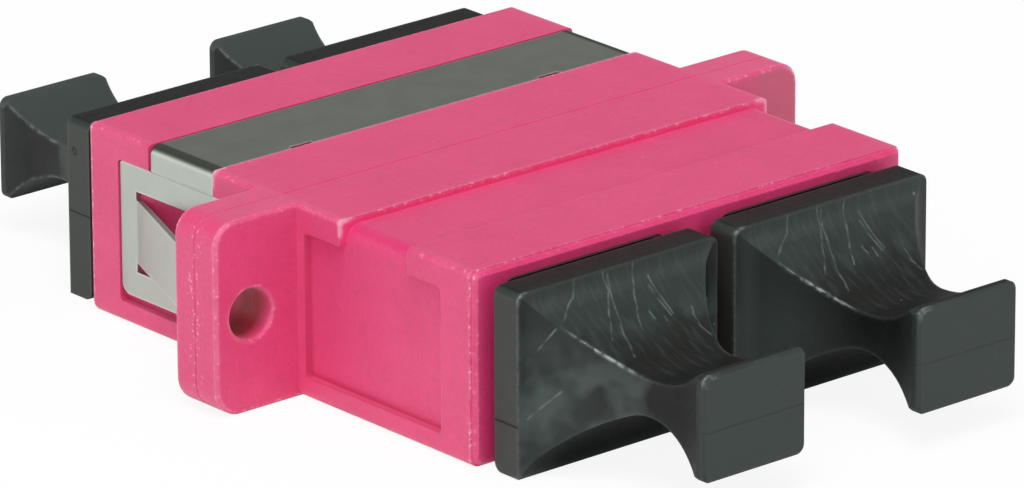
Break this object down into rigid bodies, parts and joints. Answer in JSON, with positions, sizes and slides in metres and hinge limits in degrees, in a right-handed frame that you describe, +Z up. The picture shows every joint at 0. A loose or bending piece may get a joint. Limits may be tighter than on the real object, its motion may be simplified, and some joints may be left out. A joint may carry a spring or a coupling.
{
  "type": "sc duplex fibre adapter",
  "caption": "Duplex fibre-optic adapter: welded plastic housing with a screw flange, a sheet-steel panel clip and pull-off dust caps in its ports.",
  "frame": {"origin": "weld plane of the two housing halves, midway between the two ports, on the surface it stands on", "axes": "+X along the flange, from the left port to the right one; +Y along the optical axis, from the front half to the rear half with the clip; +Z up"},
  "size_m": [0.035, 0.0498, 0.0092],
  "materials": {
    "housing_plastic": "satin moulded",
    "latch_plastic": "satin moulded",
    "spring_steel": "fine rolled",
    "bronze": "ground",
    "cap_plastic": "soft matte"
  },
  "bodies": {
    "adapter": {"front_housing": "housing_plastic", "rear_housing": "housing_plastic", "panel_clip": "spring_steel", "front_left_latch_holder": "latch_plastic", "front_right_latch_holder": "latch_plastic", "rear_left_latch_holder": "latch_plastic", "rear_right_latch_holder": "latch_plastic", "left_split_sleeve": "bronze", "right_split_sleeve": "bronze"},
    "front_left_cap": {"front_left_dust_cap": "cap_plastic"},
    "front_right_cap": {"front_right_dust_cap": "cap_plastic"},
    "rear_left_cap": {"rear_left_dust_cap": "cap_plastic"},
    "rear_right_cap": {"rear_right_dust_cap": "cap_plastic"}
  },
  "joints": [
    {"name": "front_left_cap_pull", "type": "slide", "parent": "adapter", "child": "front_left_cap", "axis": [0, -1, 0], "range_m": [0, 0.012]},
    {"name": "front_right_cap_pull", "type": "slide", "parent": "adapter", "child": "front_right_cap", "axis": [0, -1, 0], "range_m": [0, 0.012]},
    {"name": "rear_left_cap_pull", "type": "slide", "parent": "adapter", "child": "rear_left_cap", "axis": [0, 1, 0], "range_m": [0, 0.012]},
    {"name": "rear_right_cap_pull", "type": "slide", "parent": "adapter", "child": "rear_right_cap", "axis": [0, 1, 0], "range_m": [0, 0.012]}
  ]
}
